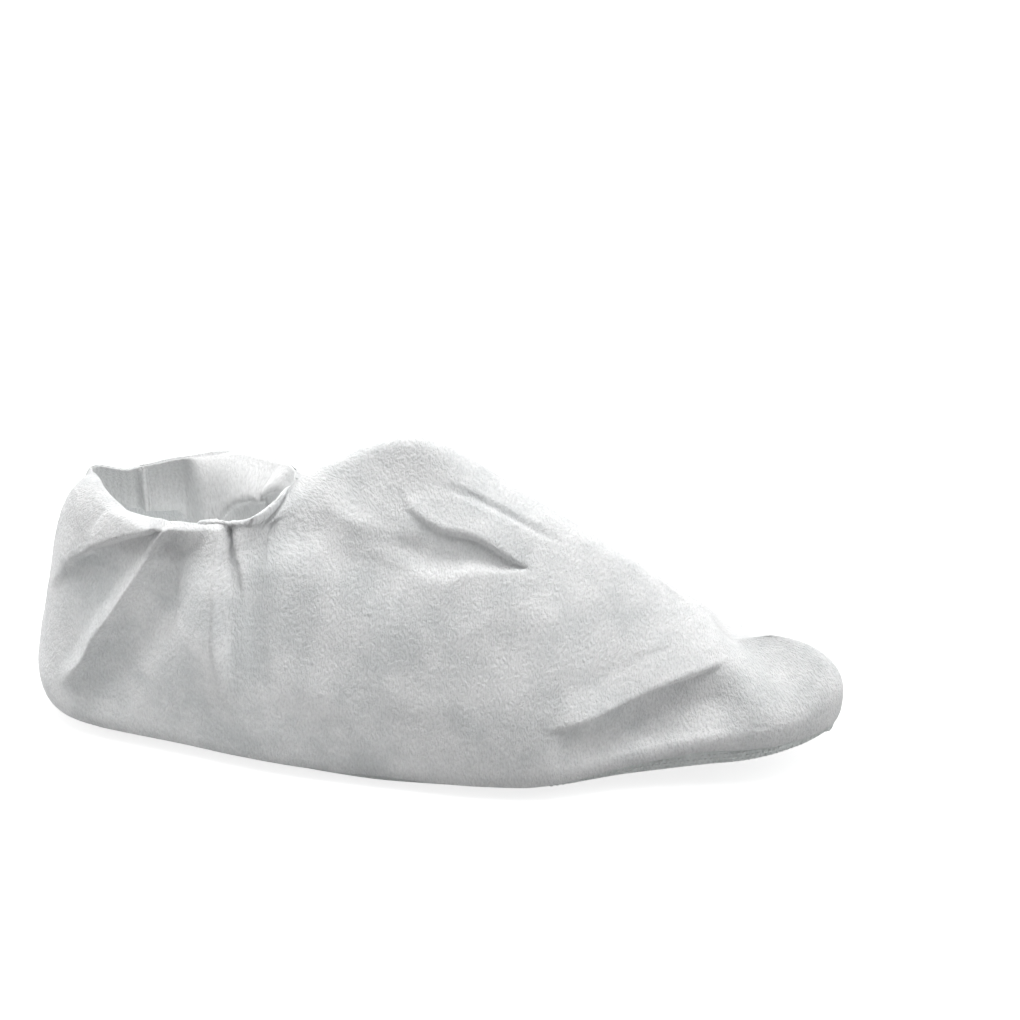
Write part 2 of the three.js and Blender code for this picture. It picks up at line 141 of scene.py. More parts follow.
upper = {
    "thickness": .5,
    # mesh spacing from place to place on each side
    "mouthSpans": {-1: [(0, .4, 2), (.4, 4.3, 1.25), (4.3, 6, 1.8)],
                   1: [(0, 2.6, 2.6), (2.6, 4.6, 1.7), (4.6, 6, 2)]},
    "vampSpans": [(6, 6.7, 2), (6.7, 8.2, 1.4), (8.2, 10.4, 1.4), (10.4, 12, 2.3)],
    "measureHeight": .7,   # lengths along the sections are taken at this height
    "lowRows": 7,
    "highRows": 92,
    "bellyShare": .16,     # share of the height below the widest line
    "throat": 6,
    "tip": 12,
    # lean draws the near side's rim forwards, into the mouth
    "columns": ["centreX", "angle", "bellyR", "bellyZ", "tuck", "edgeZ", "topR", "topZ", "tilt", "fullness",
                "lean"],
    "sections": [
        (-140, 180, 37.5, 24, 9, 4.5, 11, 111, 0, 1.6, 0),  # heel back
        (-140, 135, 39.5, 20, 8, 4.5, 18, 109.5, -2, 1.5, 9),  # heel corner
        (-138, 96, 41, 14, 6, 4.5, 25, 103.5, -1.5, 1.5, 11),  # heel side
        (-100, 90, 49, 11, 5, 4.5, 36, 106.7, 1.3, 1.45, 0),  # collar middle
        (-74, 90, 55, 10, 4.5, 4.5, 31, 108, .3, 1.4, 0),  # collar front
        (-63, 90, 57, 10, 4.5, 4.5, 15, 112, 0, 1.3, 0),  # throat corner
        (-58, 90, 58, 10, 4.5, 4.5, 0, 114.5, 0, 1.3, 0),  # throat
        (-8, 90, 65, 10, 4.5, 4.5, 0, 138, 0, 1.3, 0),  # instep
        (48, 90, 63.5, 12.5, 4.5, 5.8, 0, 109, 0, 1.3, 0),  # vamp
        (92, 90, 48.5, 20, 3.5, 12.5, 0, 84, 0, 1.4, 0),  # ball
        (121, 76, 40, 27, 2.5, 19, 0, 62.5, 0, 1.25, 0),  # toe side
        (130, 34, 42, 29, 2.5, 19.5, 0, 53.8, 0, 1.15, 0),  # toe corner
        (147, 0, 32.2, 32.5, 3, 19.5, 0, 57.3, 0, 1, 0),  # toe tip
    ],
    "leanPower": 16,       # keeps the lean to the rim
    # below the throat, where the rim closes to the vamp, each section takes in its neighbours within reach
    "ease": {"reach": .8, "starts": (3, 5), "ends": (6.8, 8.2), "stopsBelowRim": (.76, .99),
             "weights": {-2: 1 / 16, -1: 4 / 16, 0: 6 / 16, 1: 4 / 16, 2: 1 / 16}},
    # folds calm down by this share at the rim, and everything does at the ends, the sole and the vamp line
    "rimCalm": .8, "rimStart": .9,
    "endCalm": .7, "soleCalm": (.03, .26), "lineStart": .93,
    "leastHalf": .05,      # the halves meet on the middle line and never cross it
    "crumple": [(42, .8), (19, .25)],   # size and depth of the slack
}

# each lap: the cloth rises over the width full to stand out by crest along its line, drops over the step
# by crest and cut, slopes on over the width plane to the depth tuck, and comes back over the width back
# over draws the edge across the hollow; fade and tuckFade are the shares of the line where crest and hollow
# come and go; past taper the hollow narrows; on a line that runs down, dip 1 drops towards the toe
laps = [
    # drape over the heel
    {"side": -1, "path": [(2.8, 1), (2.67, .95), (2.6, .89), (2.46, .85), (2.16, .775), (1.55, .68),
                          (1.17, .57), (.8, .48)],
     "crest": 6.5, "full": 40, "power": 1.3, "step": 2.2, "cut": 1.2, "plane": 7, "tuck": 2.6, "back": 42,
     "over": 2, "dip": 1, "fade": (.1, .4), "tuckFade": (.08, .45)},
    # heel ridge
    {"side": -1, "path": [(2.95, 1), (2.8, .9), (2.62, .72), (2.41, .59), (2.2, .5), (1.83, .405),
                          (1.53, .31), (1.3, .22)],
     "crest": 5.5, "full": 7, "power": 1.2, "step": 3, "cut": .5, "plane": 9, "tuck": 6, "back": 22,
     "over": .8, "dip": 1, "fade": (0, .25), "tuckFade": (0, .35)},
    # side ridge
    {"side": -1, "path": [(3.5, 1), (3.52, .83), (3.56, .65), (3.58, .54), (3.62, .43), (3.64, .3)],
     "crest": 12.5, "full": 22, "power": 1.1, "step": 5, "cut": 0, "plane": 8, "tuck": 3.5, "back": 30,
     "over": .5, "dip": 1, "fade": (0, .4), "tuckFade": (0, .4)},
    # collar pleat
    {"side": -1, "path": [(3.72, 1), (3.8, .9), (3.88, .81), (3.97, .75), (4.14, .66), (4.29, .57)],
     "crest": 3.2, "full": 14, "power": 1.3, "step": 1.2, "cut": 1.2, "plane": 2, "tuck": 2.2, "back": 7,
     "over": 1.4, "dip": -1, "fade": (0, .4), "tuckFade": (0, .4)},
    # shoulder
    {"side": -1, "path": [(5.4, .88), (6.18, .79), (6.51, .745), (6.94, .72), (7.28, .73)],
     "crest": 2, "full": 26, "power": 1, "step": 6, "cut": 0, "plane": 9, "tuck": 1.8, "back": 30,
     "over": 0, "dip": -1, "fade": (.5, .25), "tuckFade": (.5, .25)},
    # instep facet
    {"side": -1, "path": [(6.91, .89), (6.97, .82), (7.07, .78), (7.32, .735), (7.59, .73), (7.81, .727),
                          (7.99, .73)],
     "crest": 2.6, "full": 20, "power": 1, "step": 1.3, "cut": 1.4, "plane": 11, "tuck": 4.8, "back": 12,
     "over": 2, "dip": -1, "fade": (.6, .3), "tuckFade": (.7, .04), "taper": .55},
    # vamp slit
    {"side": -1, "path": [(7.2, .865), (7.36, .855), (7.58, .855), (7.82, .865), (8.1, .878), (8.36, .885)],
     "crest": .7, "full": 8, "power": 1.4, "step": 2, "cut": .6, "plane": 1, "tuck": 1.3, "back": 3,
     "over": .4, "dip": -1, "fade": (.45, .5), "tuckFade": (.4, .45)},
    # toe crease
    {"side": -1, "path": [(8.15, .32), (8.42, .35), (8.71, .39), (9.26, .48), (9.72, .58), (10.33, .72)],
     "crest": 4.5, "full": 12, "power": 1.2, "step": 1.6, "cut": 1.3, "plane": 11, "tuck": 5.2, "back": 24,
     "over": 2.2, "dip": -1, "fade": (.35, .35), "tuckFade": (.4, .22)},
    # far heel ridge
    {"side": 1, "path": [(2.2, .66), (1.8, .45), (1.1, .2)],
     "crest": 4, "full": 16, "power": 1.4, "step": 4, "cut": 1, "plane": 8, "tuck": 4, "back": 28,
     "over": 1, "dip": 1, "fade": (.45, .45), "tuckFade": (.45, .45)},
    # far side ridge
    {"side": 1, "path": [(3.95, .72), (3.92, .5), (3.8, .28)],
     "crest": 5, "full": 24, "power": 1.3, "step": 5, "cut": 0, "plane": 7, "tuck": 2.6, "back": 22,
     "over": .5, "dip": 1, "fade": (.5, .5), "tuckFade": (.5, .5)},
    # far instep crease
    {"side": 1, "path": [(6.9, .86), (7.4, .7), (8.1, .6)],
     "crest": 3, "full": 22, "power": 1, "step": 1.6, "cut": 1.2, "plane": 11, "tuck": 4.4, "back": 14,
     "over": 1.5, "dip": -1, "fade": (.4, .4), "tuckFade": (.5, .12)},
    # far toe crease
    {"side": 1, "path": [(8.1, .3), (9.2, .42), (10.1, .52)],
     "crest": 3.6, "full": 12, "power": 1.2, "step": 1.8, "cut": 1.6, "plane": 10, "tuck": 6, "back": 22,
     "over": 2, "dip": -1, "fade": (.4, .5), "tuckFade": (.4, .55)},
]
# ends of a tapered hollow, and how far behind and ahead of its line a lap is drawn over
lapEdge = {"narrowest": .08, "shallowest": .3, "behind": 14, "ahead": 6, "aheadSteps": 1.6}

# each dent: a line pushed in by depth
dents = [
    # under the throat
    {"side": -1, "path": [(5.2, .82), (5.65, .75), (6.1, .66)], "depth": 5, "width": 20, "fade": (.45, .5)},
    # below the toe crease
    {"side": -1, "path": [(8.6, .26), (9.3, .35), (9.9, .42), (10.7, .42)],
     "depth": 3.6, "width": 26, "fade": (.3, .35)},
    # far side: below the collar, across the toe, below the toe crease
    {"side": 1, "path": [(4.6, .9), (4.9, .76), (5.4, .6)], "depth": 3.4, "width": 15, "fade": (.3, .4)},
    {"side": 1, "path": [(9.6, .76), (10.1, .8), (10.6, .82), (11.1, .8)],
     "depth": 3.6, "width": 16, "fade": (.4, .4)},
    {"side": 1, "path": [(8.7, .26), (9.4, .38), (10.5, .48)], "depth": 4, "width": 24, "fade": (.4, .5)},
]

# the far front of the collar leans into the mouth in a lobe, with a pocket under it
lobe = {
    "depth": 20, "starts": (2.58, 2.76), "ends": (3.8, 5.2),
    # section places, and how high the lobe's edge lies there
    "edge": ([2.66, 2.9, 3.2, 3.6, 4.2, 5], [.6, .68, .76, .815, .84, .87]),
    # share of the depth gained between two heights, both counted from the edge
    "gains": [(1.15, -.62, -.24), (-.3, -.22, -.03), (.15, -.03, 0)],
}

# on the near side the rim is turned over in a small roll, which dies out at the heel and the throat
roll = {"radius": 1.8, "steps": 5, "turn": 165, "starts": (-.02, .5), "ends": (4.4, 5.3), "last": 5.2,
        "flatStep": .5}

upperRows = np.array(upper["sections"], float)


def sizeAt(column, t):
    # a rounded line through one column of the sections, which never swings past their values
    values = upperRows[:, upper["columns"].index(column)]
    steps = np.diff(values)
    slopes = np.zeros(len(values))
    for i in range(1, len(values) - 1):
        if steps[i - 1] * steps[i] > 0:
            slopes[i] = 2 * steps[i - 1] * steps[i] / (steps[i - 1] + steps[i])
    if column == "angle":
        slopes[0], slopes[-1] = steps[0], steps[-1]
    t = np.asarray(t, float)
    low = np.clip(np.floor(t).astype(int), 0, len(values) - 2)
    f = t - low
    start = values[low] * (2 * f ** 3 - 3 * f ** 2 + 1) + slopes[low] * (f ** 3 - 2 * f ** 2 + f)
    return start + values[low + 1] * (3 * f ** 2 - 2 * f ** 3) + slopes[low + 1] * (f ** 3 - f ** 2)


def smoothPoint(t, v, side):
    # the upper without its folds
    t, v = np.broadcast_arrays(np.asarray(t, float), np.asarray(v, float))
    share = upper["bellyShare"]
    bellyR, bellyZ, topR, full = (sizeAt(c, t) for c in ("bellyR", "bellyZ", "topR", "fullness"))
    lowTurn = np.clip(v / share, 0, 1) * math.pi / 2
    highTurn = np.clip((v - share) / (1 - share), 0, 1) * math.pi / 2
    lowR = bellyR - sizeAt("tuck", t) * (1 - np.sin(lowTurn))
    lowZ = bellyZ - (bellyZ - sizeAt("edgeZ", t)) * np.cos(lowTurn)
    highR = topR + (bellyR - topR) * np.maximum(np.cos(highTurn), 0) ** full
    rise = np.sin(highTurn) ** full
    highZ = bellyZ + (sizeAt("topZ", t) - bellyZ) * rise + side * sizeAt("tilt", t) * rise ** 2
    r = np.where(v < share, lowR, highR)
    z = np.where(v < share, lowZ, highZ)
    angle = np.radians(sizeAt("angle", t))
    x = sizeAt("centreX", t) + r * np.cos(angle)
    if side < 0:
        x = x + np.where(v < share, 0, sizeAt("lean", t) * rise ** upper["leanPower"])
    return np.stack([x, side * r * np.sin(angle), z], -1)


def onMiddleLine(t, v):
    # heel line, toe line and vamp line, where the two halves meet
    return (t <= 0) | (t >= upper["tip"]) | ((v >= 1) & (t >= upper["throat"]))


def smoothNormal(t, v, side):
    t, v = np.broadcast_arrays(np.asarray(t, float), np.asarray(v, float))
    d = .004
    along = smoothPoint(np.minimum(t + d, upper["tip"]), v, side) - smoothPoint(np.maximum(t - d, 0), v, side)
    up = smoothPoint(t, np.minimum(v + d, 1), side) - smoothPoint(t, np.maximum(v - d, 0), side)
    normal = unit(np.cross(along, up)) * -side
    normal[..., 1] = np.where(onMiddleLine(t, v), 0, normal[..., 1])
    return unit(normal)


def easedPoint(t, v, side):
    ease = upper["ease"]
    reach = ease["reach"] * smoothStep(t, *ease["starts"]) * (1 - smoothStep(t, *ease["ends"]))
    reach = reach * (1 - smoothStep(v, *ease["stopsBelowRim"]))
    total = 0
    for k, weight in ease["weights"].items():
        total = total + weight * smoothPoint(t + k * reach, v, side)
    return total


def curvePlaces(path, steps):
    # a rounded line through the places of a fold
    p = np.array(path, float)
    p = np.vstack([2 * p[0] - p[1], p, 2 * p[-1] - p[-2]])
    places = []
    for s in np.linspace(0, len(path) - 1, steps + 1):
        i = min(int(s), len(path) - 2)
        f = s - i
        a, b, c, d = p[i:i + 4]
        bends = (2 * a - 5 * b + 4 * c - d) * f ** 2 + (3 * b - a - 3 * c + d) * f ** 3
        places.append(.5 * (2 * b + (c - a) * f + bends))
    return np.array(places)


def foldDistance(fold, points, normals):
    # signed distance to a fold's line, the share of the line where it is nearest, and the way across it
    steps = 36
    places = curvePlaces(fold["path"], steps)
    line = easedPoint(places[:, 0], np.clip(places[:, 1], 0, 1), fold["side"])
    best = np.full(len(points), np.inf)
    signed, share = np.zeros(len(points)), np.zeros(len(points))
    way = np.zeros((len(points), 3))
    for i in range(steps):
        step = line[i + 1] - line[i]
        offset = points - line[i]
        f = np.clip(offset @ step / max(step @ step, 1e-9), 0, 1)
        offset = offset - f[:, None] * step
        length = np.linalg.norm(offset, axis=1)
        closer = length < best
        cross = unit(np.cross(normals, step)) * -fold["side"]
        across = np.einsum("ij,ij->i", cross, offset)
        rise = np.einsum("ij,ij->i", normals, offset)
        flat = np.sqrt(np.maximum(length ** 2 - rise ** 2, 0))
        best = np.where(closer, length, best)
        signed = np.where(closer, flat * np.where(across < 0, -1, 1), signed)
        share = np.where(closer, (i + f) / steps, share)
        way = np.where(closer[:, None], cross, way)
    return signed, share, way


def fadeAlong(fade, share):
    start, end = fade
    rise = 1 if start == 0 else smoothStep(share, 0, start)
    return rise * smoothStep(1 - share, 0, end)


def lapOffset(fold, points, normals):
    # how far a lap moves the cloth out, and how far it draws its edge over the hollow
    distance, share, way = foldDistance(fold, points, normals)
    d, step, cut = distance * fold["dip"], fold["step"], fold["cut"]
    stand, sink = fadeAlong(fold["fade"], share), fadeAlong(fold["tuckFade"], share)
    rise = np.clip(1 + d / fold["full"], 0, 1) ** fold["power"]
    fall = np.clip(1 - d / step, 0, 1)
    narrow = 1
    if "taper" in fold:
        narrow = np.clip((1 - share) / (1 - fold["taper"]), lapEdge["narrowest"], 1)
    past = np.maximum(d - step, 0) / narrow
    slope = cut + (fold["tuck"] - cut) * np.clip(past / fold["plane"], 0, 1)
    hollow = np.where(d < step, cut * np.clip(d / step, 0, 1), slope)
    hollow = hollow * (lapEdge["shallowest"] + (1 - lapEdge["shallowest"]) * narrow)
    hollow = hollow * (1 - smoothStep(past, fold["plane"], fold["plane"] + fold["back"]))
    out = stand * fold["crest"] * np.where(d <= 0, rise, fall) - sink * hollow
    ahead = min(lapEdge["aheadSteps"] * step, lapEdge["ahead"])
    draw = np.where(d <= 0, np.clip(1 + d / lapEdge["behind"], 0, 1) ** 2, np.clip(1 - d / ahead, 0, 1))
    return out, way * (sink * fold["over"] * draw * fold["dip"])[:, None]


def dentOffset(fold, points, normals):
    distance, share = foldDistance(fold, points, normals)[:2]
    bowl = np.clip(1 - (distance / fold["width"]) ** 2, 0, 1) ** 2
    return -fold["depth"] * fadeAlong(fold["fade"], share) * bowl


def crumpleOffset(points):
    # shallow slack waves, with a few sharper lines where they meet
    total = np.zeros(len(points))
    for k, p in enumerate(points):
        for size, depth in upper["crumple"]:
            total[k] += depth * (.6 - 2 * abs(noise.noise(Vector(p) / size)))
    return total


def lobeOffset(t, v, side):
    if side < 0:
        return np.zeros(np.broadcast(t, v).shape)
    span = smoothStep(t, *lobe["starts"]) * (1 - smoothStep(t, *lobe["ends"]))
    edge = np.interp(t, *lobe["edge"])
    under = sum(gain * smoothStep(v - edge, low, high) for gain, low, high in lobe["gains"])
    return -lobe["depth"] * span * (under * np.clip((1 - v) / (1 - edge), 0, 1))


def upperGrid(t, v, side):
    # the outer face of the upper at every t and v, in millimetres, with its normals
    vv = v if np.ndim(v) == 2 else np.tile(v, (len(t), 1))
    tt = np.tile(np.asarray(t)[:, None], (1, vv.shape[1]))
    points = easedPoint(tt, vv, side).reshape(-1, 3)
    normals = smoothNormal(tt, vv, side).reshape(-1, 3)
    offset, drawn = np.zeros(len(points)), np.zeros((len(points), 3))
    for fold in laps:
        if fold["side"] == side:
            out, draw = lapOffset(fold, points, normals)
            offset += out
            drawn += draw
    for fold in dents:
        if fold["side"] == side:
            offset += dentOffset(fold, points, normals)
    flatT, flatV = tt.ravel(), vv.ravel()
    offset *= 1 - upper["rimCalm"] * smoothStep(flatV, upper["rimStart"], 1) * (flatT < upper["throat"])
    offset += lobeOffset(flatT, flatV, side)
    offset += crumpleOffset(points)
    nearTop = smoothStep(flatV, upper["lineStart"], 1)
    calm = smoothStep(np.minimum(flatT, upper["tip"] - flatT), 0, upper["endCalm"])
    calm = calm * smoothStep(flatV, *upper["soleCalm"])
    calm = calm * (1 - nearTop * (flatT >= upper["throat"]))
    points = points + normals * (offset * calm)[:, None] + drawn * (calm * (1 - nearTop))[:, None]
    half = side * np.maximum(side * points[:, 1], upper["leastHalf"])
    points[:, 1] = np.where(onMiddleLine(flatT, flatV), 0, half)
    shape = tt.shape + (3,)
    return points.reshape(shape), normals.reshape(shape)


def evenPlaces(start, end, steps, samples=600):
    # section places at even lengths
    t = np.linspace(start, end, samples)
    length = lengthAlong(smoothPoint(t, upper["measureHeight"], 1))
    return np.interp(np.linspace(0, length[-1], steps + 1), length, t)


def gridPlaces(spans, samples=80):
    # section places with the wanted spacing in each span
    places = [0.0]
    for start, end, spacing in spans:
        t = np.linspace(start, end, samples)
        length = lengthAlong(smoothPoint(t, upper["measureHeight"], 1))[-1]
        places += list(evenPlaces(start, end, max(2, round(length / spacing)))[1:])
    return np.array(places)


vampPlaces = gridPlaces(upper["vampSpans"])[1:]
sidePlaces = {side: np.concatenate([gridPlaces(upper["mouthSpans"][side]), vampPlaces]) for side in (-1, 1)}
upperV = np.concatenate([np.linspace(0, upper["bellyShare"], upper["lowRows"] + 1)[:-1],
                         np.linspace(upper["bellyShare"], 1, upper["highRows"] + 1)])


def rolledRows(t, rim, below, rimNormals):
    # rows of points round the roll, from the rim inwards
    span = smoothStep(t, *roll["starts"]) * (1 - smoothStep(t, *roll["ends"]))
    radius = roll["radius"] * np.sqrt(span)[:, None]
    rise = unit(rim - below)
    rows = []
    for k in range(1, roll["steps"] + 1):
        a = math.radians(roll["turn"]) * k / roll["steps"]
        rows.append(rim + radius * (rise * math.sin(a) - rimNormals * (1 - math.cos(a))))
    return rows


def buildUpper():
    points, faces, uvs, ids = [], [], [], {}
    lastJ = len(upperV) - 1
    for side in (-1, 1):
        t = sidePlaces[side]
        lastI = len(t) - 1
        mouth = lastI - len(vampPlaces)
        grid, normals = upperGrid(t, upperV, side)
        flatX = lengthAlong(easedPoint(t, np.full(len(t), .5), side))
        rowLengths = np.linalg.norm(np.diff(grid, axis=1), axis=2)
        flatY = np.concatenate([np.zeros((lastI + 1, 1)), np.cumsum(rowLengths, axis=1)], axis=1)
        rollEnd = int(np.searchsorted(t, roll["last"])) if side < 0 else 0
        rim = slice(0, mouth + 1)
        rolled = rolledRows(t[rim], grid[rim, -1], grid[rim, -4], normals[rim, -1])

        # points on the heel line, the vamp line and the toe line belong to both halves
        def keyOf(i, j):
            if i == 0:
                return ("heel", j)
            if i >= mouth and (j >= lastJ or i == lastI):
                return ("middle", i - mouth, j)
            return (side, i, j)

        for i in range(lastI + 1):
            column = list(grid[i]) + ([r[i] for r in rolled] if i <= rollEnd and rollEnd else [])
            for j, p in enumerate(column):
                key = keyOf(i, j)
                if key not in ids:
                    ids[key] = len(points)
                    points.append(p if key[0] == side else p * np.array([1, 0, 1]))
        for i in range(lastI):
            top = lastJ + (roll["steps"] if i < rollEnd else 0)
            for j in range(top):
                corners = [(i, j), (i + 1, j), (i + 1, j + 1), (i, j + 1)]
                if side > 0:
                    corners.reverse()
                loop, loopUv = [], []
                for a, b in corners:
                    k = ids[keyOf(a, b)]
                    if k in loop:
                        continue
                    loop.append(k)
                    height = flatY[a, min(b, lastJ)] + roll["flatStep"] * max(0, b - lastJ)
                    loopUv.append((flatX[a] * mm + (1 if side > 0 else 0), height * mm))
                if len(loop) > 2:
                    faces.append(loop)
                    uvs.append(loopUv)
    obj = makeMesh("upperCloth", points, faces, uvs)
    thicken(obj, upper["thickness"])
    smoothShade(obj)
    return obj


upperCloth = buildUpper()
print("upper cloth", len(upperCloth.data.vertices), "points")


# the hem band turned inside the mouth

hem = {
    "columns": 230, "rows": 22, "thickness": .5,
    # lower and upper edge of the band on each side, the lower one by section place
    "low": {-1: ([0, 5, 6], [.74, .74, .8]),
            1: ([0, 2.2, 2.5, 2.75, 5, 6], [.72, .68, .67, .58, .58, .8])},
    "high": {-1: .975, 1: .994},
    "inside": .75,         # below the outer face of the upper
    "crimp": .08, "crimpPitch": 3.1, "crimpLow": .6,
    "crimpDrift": 1.7, "driftLength": 13,
    "lobeCalm": .8, "lobeStarts": (2.6, 2.8),   # the lobe has fewer crimps
    "lift": 1.2, "liftShare": .5, "liftPower": 1.5,   # how far the lower edge stands off the wall
    "ledge": 4, "ledgeStarts": (2.05, 2.4), "ledgeEnds": (2.6, 2.72),   # more of that beside the far heel
    "shelfStarts": (2.9, 3.3), "shelfRows": (.4, .8),   # on the lobe's shelf it follows the folded wall
    "drop": 34, "hangs": (4.2, 5.6), "hangsIn": .9,   # round the throat it hangs, on the far side inwards
    "flatRow": 1.6, "flatEnd": 1.5,
}
rimPlaces = np.linspace(0, upper["throat"], 400)
rimLength = lengthAlong(smoothPoint(rimPlaces, 1, 1))


def hemBand(t, side):
    # the outer face of the band, one column for each t, and the way out of the wall
    low = np.interp(t, *hem["low"][side])
    share = np.linspace(0, 1, hem["rows"])
    v = low[:, None] + (hem["high"][side] - low)[:, None] * share[None]
    grid, normals = upperGrid(t, v, side)
    steep = unit(np.cross(np.gradient(grid, axis=0), np.gradient(grid, axis=1))) * -side
    shelf = smoothStep(t, *hem["shelfStarts"])[:, None] * smoothStep(share, *hem["shelfRows"])[None]
    shelf = shelf[..., None]
    normals = unit(normals * (1 - shelf) + steep * shelf)
    length = np.interp(t, rimPlaces, rimLength)
    drift = hem["crimpDrift"] * np.sin(length / hem["driftLength"])
    wave = np.sin(length / hem["crimpPitch"] * 2 * math.pi + drift + side)
    lift = hem["lift"]
    if side > 0:
        wave = wave * (1 - hem["lobeCalm"] * smoothStep(t, *hem["lobeStarts"]))
        ledge = smoothStep(t, *hem["ledgeStarts"]) * (1 - smoothStep(t, *hem["ledgeEnds"]))
        lift = lift + hem["ledge"] * ledge
    crimp = hem["crimp"] * (1 + wave[:, None] * np.linspace(hem["crimpLow"], 1, hem["rows"])[None])
    offWall = np.clip(1 - share / hem["liftShare"], 0, 1) ** hem["liftPower"]
    inside = hem["inside"] + crimp + np.broadcast_to(lift, len(t))[:, None] * offWall[None]
    wall = grid - normals * inside[..., None]
    drop = np.linspace(hem["drop"], 0, hem["rows"])
    hanging = wall[:, -1:, :] - drop[None, :, None] * np.array([0, 0, 1])
    if side > 0:
        hanging[..., 1] *= 1 - hem["hangsIn"] * drop[None] / hem["drop"]
    hang = smoothStep(t, *hem["hangs"])[:, None, None]
    return wall * (1 - hang) + hanging * hang, normals


def buildHem():
    t = evenPlaces(0, upper["throat"], hem["columns"])
    rings = []
    for side in (-1, 1):
        band = hemBand(t, side)[0]
        band[..., 1] = side * np.maximum(side * band[..., 1], 0)
        band[[0, -1], :, 1] = 0
        rings.append(band)
    loop = np.concatenate([rings[0], rings[1][-2:0:-1]])
    along = lengthAlong(loop[:, -1])
    along = np.append(along, along[-1] + hem["flatEnd"])
    obj = gridCloth("collarHem", loop, lambda i, j: (along[i], j * hem["flatRow"]), closed=True)
    thicken(obj, hem["thickness"])
    smoothShade(obj)
    return obj


collarHem = buildHem()
print("collar hem", len(collarHem.data.vertices), "points")


# the upright join of the hem, on the far side of the heel

heel = {"place": 2.2, "width": .13, "across": 13, "first": 0, "last": 20, "rows": 60,
        "thickness": .5, "gap": .12, "ridge": 1.1, "ridgeShare": .4, "ridgePower": .7,
        "tack": .7, "tackRow": 16, "tackRows": .45, "tackShare": .75, "flatStep": .4}


def buildHeelSeam():
    t = heel["place"] + heel["width"] * np.linspace(-.5, .5, heel["across"])
    band, normals = hemBand(t, 1)
    rows = np.linspace(heel["first"], heel["last"], heel["rows"])
    low = np.floor(rows).astype(int)
    part = (rows - low)[None, :, None]
    band = band[:, low] * (1 - part) + band[:, low + 1] * part
    y = np.abs(np.linspace(-1, 1, heel["across"]))
    ridge = heel["ridge"] * np.clip(1 - y / heel["ridgeShare"], 0, 1) ** heel["ridgePower"]
    tack = heel["tack"] * np.exp(-((rows - heel["tackRow"]) / heel["tackRows"]) ** 2)
    inside = hem["thickness"] + heel["gap"] + ridge[:, None] + tack[None] * (y < heel["tackShare"])[:, None]
    points = band - normals[:, low] * inside[..., None]
    flatStep = heel["flatStep"]
    obj = gridCloth("heelSeam", points, lambda i, j: (i * flatStep, j * flatStep), turned=True)
    thicken(obj, heel["thickness"])
    faceOutwards(obj)
    smoothShade(obj)
    return obj


heelSeam = buildHeelSeam()
print("heel seam", len(heelSeam.data.vertices), "points")


# the grip sole, flat on the floor and turned up at its border

sole = {
    "columns": 150, "rows": 44, "thickness": 1.0, "end": .06, "endSections": 1.5,
    "inset": .2, "drop": .6,
    "springStart": 35, "springEnd": 160, "springHeight": 15, "springPower": 1.2,
    "borderPower": 9, "toeBorderPower": 50, "flatBelow": .01,
    "dotHeight": .45,
}


def edgePoint(t, side, inset, rise):
    # a point beside the lower edge of the upper
    p = smoothPoint(t, 0, side)
    angle = np.radians(sizeAt("angle", t))
    inwards = [-inset * np.cos(angle), -inset * np.sin(angle) * side, np.full(np.shape(t), float(rise))]
    return p + np.stack(inwards, -1)


def solePoint(t, across):
    t, across = np.broadcast_arrays(np.asarray(t, float), np.asarray(across, float))
    border = edgePoint(t, 1, sole["inset"], -sole["drop"])
    run = np.maximum(0, (border[..., 0] - sole["springStart"]) / (sole["springEnd"] - sole["springStart"]))
    floorZ = sole["springHeight"] * run ** sole["springPower"]
    toEnd = np.minimum(t, upper["tip"] - t) / sole["endSections"]
    share = np.maximum(np.abs(across), 1 - np.minimum(1, toEnd) ** 2)
    toe = smoothStep(border[..., 0], sole["springStart"], sole["springEnd"])
    rise = share ** (sole["borderPower"] + (sole["toeBorderPower"] - sole["borderPower"]) * toe)
    rise = np.where(rise < sole["flatBelow"], 0, rise)
    z = floorZ + (border[..., 2] - floorZ) * rise
    return np.stack([border[..., 0], border[..., 1] * across, z], -1)


def soleNormal(t, across):
    # upward normal of the sole
    d = .01
    along = solePoint(t + d, across) - solePoint(t - d, across)
    over = solePoint(t, np.minimum(across + d, 1)) - solePoint(t, np.maximum(across - d, -1))
    return unit(np.cross(along, over))


def buildSole():
    t = evenPlaces(sole["end"], upper["tip"] - sole["end"], sole["columns"])
    across = np.sin(np.linspace(-1, 1, sole["rows"] + 1) * math.pi / 2)
    tt, aa = np.meshgrid(t, across, indexing="ij")
    under = solePoint(tt, aa) + soleNormal(tt, aa) * sole["dotHeight"]
    obj = gridCloth("gripSole", under, lambda i, j: under[i, j, :2], turned=True)
    thicken(obj, sole["thickness"])
    smoothShade(obj)
    return obj


gripSole = buildSole()
print("grip sole", len(gripSole.data.vertices), "points")


# the grip dots under the sole, and in rows on the border that stands up round the toe

dots = {
    "segments": 7, "rings": 6, "cut": .05, "radius": .85, "sunk": .03, "turn": (.9, .1, .4), "angle": 50,
    "pitch": 3.6, "rows": 18, "rim": 9, "heelGap": 4, "toeGap": 3, "endSections": .1,
    "borderPitch": 2.5, "borderRows": 4, "borderLow": 1.4, "borderStep": .8, "borderTop": .9,
    "borderFrom": 60, "tipSections": .6, "samples": 900,
}


